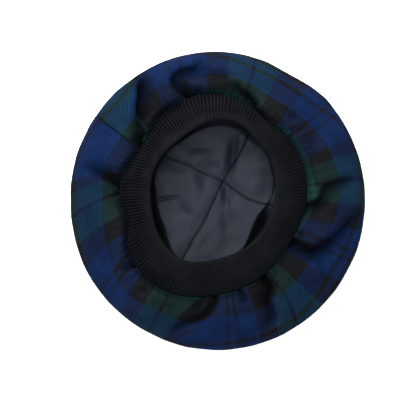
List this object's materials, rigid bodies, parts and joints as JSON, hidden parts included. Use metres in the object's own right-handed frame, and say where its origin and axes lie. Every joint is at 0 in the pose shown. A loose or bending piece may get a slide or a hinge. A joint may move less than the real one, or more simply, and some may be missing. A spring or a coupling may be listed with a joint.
{
  "type": "tam o' shanter bonnet",
  "caption": "Round flat tartan bonnet, gathered on its underside into a ribbed knit headband, with a satin lining; it lies on its crown with the head opening up.",
  "frame": {"origin": "on the ground under the middle of the rim, at the crown's outer face", "axes": "+Z up out of the head opening, +X to the right and +Y up in the picture"},
  "size_m": [0.278, 0.2817, 0.0669],
  "materials": {
    "crown_tartan": "twill wool",
    "underside_tartan": "twill wool",
    "knit": "rib knit",
    "satin": "satin"
  },
  "bodies": {
    "root": {"crown": "crown_tartan", "underside": "underside_tartan", "headband": "knit", "lining": "satin"}
  },
  "joints": []
}
